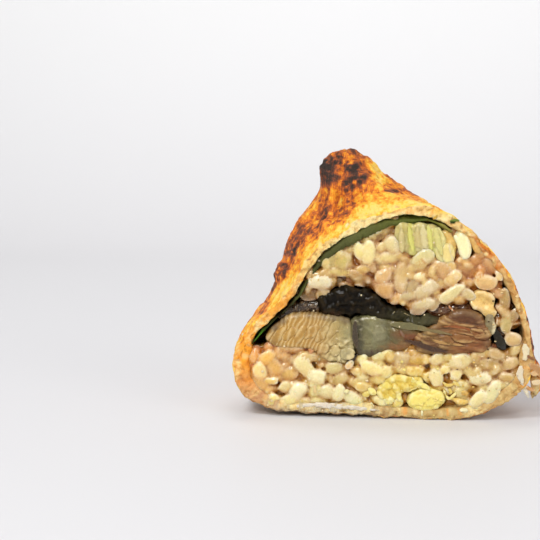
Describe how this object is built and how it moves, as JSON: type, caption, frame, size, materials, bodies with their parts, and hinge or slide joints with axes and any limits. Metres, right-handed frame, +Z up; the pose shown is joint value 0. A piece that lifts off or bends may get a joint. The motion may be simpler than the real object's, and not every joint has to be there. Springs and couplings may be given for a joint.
{
  "type": "cut grilled stuffed tofu pouch sushi",
  "caption": "Half of a grilled, stuffed fried tofu pouch, cut to show seasoned rice, layers of eel, leaf, vegetable strips and egg; stands on its base with a pinched knob on top.",
  "frame": {"origin": "centre of the bounding box's base, on the surface it rests on", "axes": "+Z up; the cut face looks along -Y; +X runs to the right across the cut face"},
  "size_m": [0.0876, 0.0422, 0.0749],
  "materials": {
    "tofu_skin": "grilled fried tofu, golden with char",
    "green_leaf": "thin green herb leaf",
    "rice": "cooked seasoned rice, moist",
    "eel_skin": "dark fish skin, glossy",
    "eel_flesh": "cooked pale flesh, moist",
    "eel_tail": "sauced brown flesh",
    "nori": "dark dried seaweed",
    "pale_piece": "soft pale yellow pickle",
    "egg": "crumbled cooked egg",
    "vegetable": "pale crisp vegetable"
  },
  "bodies": {
    "root": {"tofu_skin": "tofu_skin", "green_leaf": "green_leaf", "eel_skin": "eel_skin", "eel_flesh_thick": "eel_flesh", "eel_flesh_middle": "eel_flesh", "eel_tail": "eel_tail", "nori_strip": "nori", "pale_piece": "pale_piece", "egg_lump": "egg", "egg_shreds": "egg", "vegetable_wedge": "vegetable", "vegetable_chip": "vegetable", "vegetable_strip_1": "vegetable", "vegetable_strip_2": "vegetable", "vegetable_strip_3": "vegetable", "vegetable_strip_4": "vegetable", "vegetable_strip_5": "vegetable", "rice_upper": "rice", "rice_lower": "rice"}
  },
  "joints": []
}
